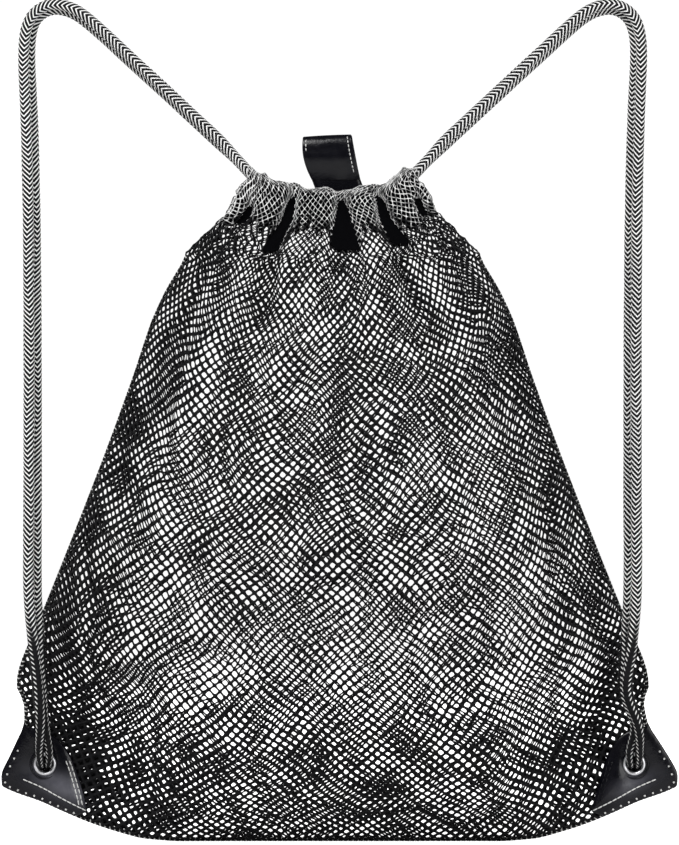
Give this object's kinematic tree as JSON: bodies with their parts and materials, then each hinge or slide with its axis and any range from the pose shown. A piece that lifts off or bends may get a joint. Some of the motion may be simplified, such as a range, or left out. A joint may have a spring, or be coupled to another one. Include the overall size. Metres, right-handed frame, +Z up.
{
  "type": "mesh ball bag",
  "caption": "Drawstring bag of open black net for balls, with two braided cord straps, stitched corner patches with eyelets and a hang loop at the gathered mouth.",
  "frame": {"origin": "middle of the bag's lowest edge, between its corner tips", "axes": "+X across the bag to the right as seen from the front, -Y out of the front, +Z up to the hang loop"},
  "size_m": [0.344, 0.122, 0.4288],
  "materials": {
    "net": "matte",
    "binding": "matte",
    "tape": "matte",
    "leather": "satin",
    "braid": "matte",
    "metal": "satin"
  },
  "bodies": {
    "bag": {"front_mesh_panel": "net", "back_mesh_panel": "net", "bottom_seam": "binding", "left_side_seam": "binding", "left_eyelet": "metal", "left_eyelet_washer": "metal", "left_cord_knot": "braid", "left_front_corner_patch": "leather", "left_front_cord_tail": "braid", "left_back_corner_patch": "leather", "left_back_cord_tail": "braid", "right_side_seam": "binding", "right_eyelet": "metal", "right_eyelet_washer": "metal", "right_cord_knot": "braid", "right_front_corner_patch": "leather", "right_front_cord_tail": "braid", "right_back_corner_patch": "leather", "right_back_cord_tail": "braid"},
    "front_lip": {"front_channel_hem": "net", "front_facing_tape": "tape", "left_front_hem_cord": "braid", "right_front_hem_cord": "braid", "left_front_cord_elbow": "braid", "right_front_cord_elbow": "braid"},
    "back_lip": {"back_channel_hem": "net", "back_facing_tape": "tape", "left_back_hem_cord": "braid", "right_back_hem_cord": "braid", "left_back_cord_elbow": "braid", "right_back_cord_elbow": "braid"},
    "left_strap": {"left_front_strap_cord": "braid", "left_back_strap_cord": "braid"},
    "right_strap": {"right_front_strap_cord": "braid", "right_back_strap_cord": "braid"},
    "hang_loop": {"hang_loop": "leather"}
  },
  "joints": [
    {"name": "mouth_open", "type": "hinge", "parent": "bag", "child": "front_lip", "pos_m": [-0.0035, -0.027, 0.2982], "axis": [1, 0, 0], "range_deg": [0, 50]},
    {"name": "back_lip_open", "type": "hinge", "parent": "bag", "child": "back_lip", "pos_m": [-0.0035, 0.027, 0.2982], "axis": [1, 0, 0], "range_deg": [-50, 0]},
    {"name": "left_strap_swing", "type": "hinge", "parent": "bag", "child": "left_strap", "pos_m": [-0.1556, -0.0195, 0.13], "axis": [0.3846, 0.0793, 0.9197], "range_deg": [-85, 85]},
    {"name": "right_strap_swing", "type": "hinge", "parent": "bag", "child": "right_strap", "pos_m": [0.1486, -0.0195, 0.13], "axis": [0.3846, -0.0793, -0.9197], "range_deg": [-85, 85]},
    {"name": "hang_loop_flop", "type": "hinge", "parent": "back_lip", "child": "hang_loop", "pos_m": [-0.001, 0.01, 0.3376], "axis": [1, 0, 0], "range_deg": [-65, 65]}
  ],
  "couplings": [
    {"joint": "back_lip_open", "follows": "mouth_open", "ratio": -1}
  ]
}
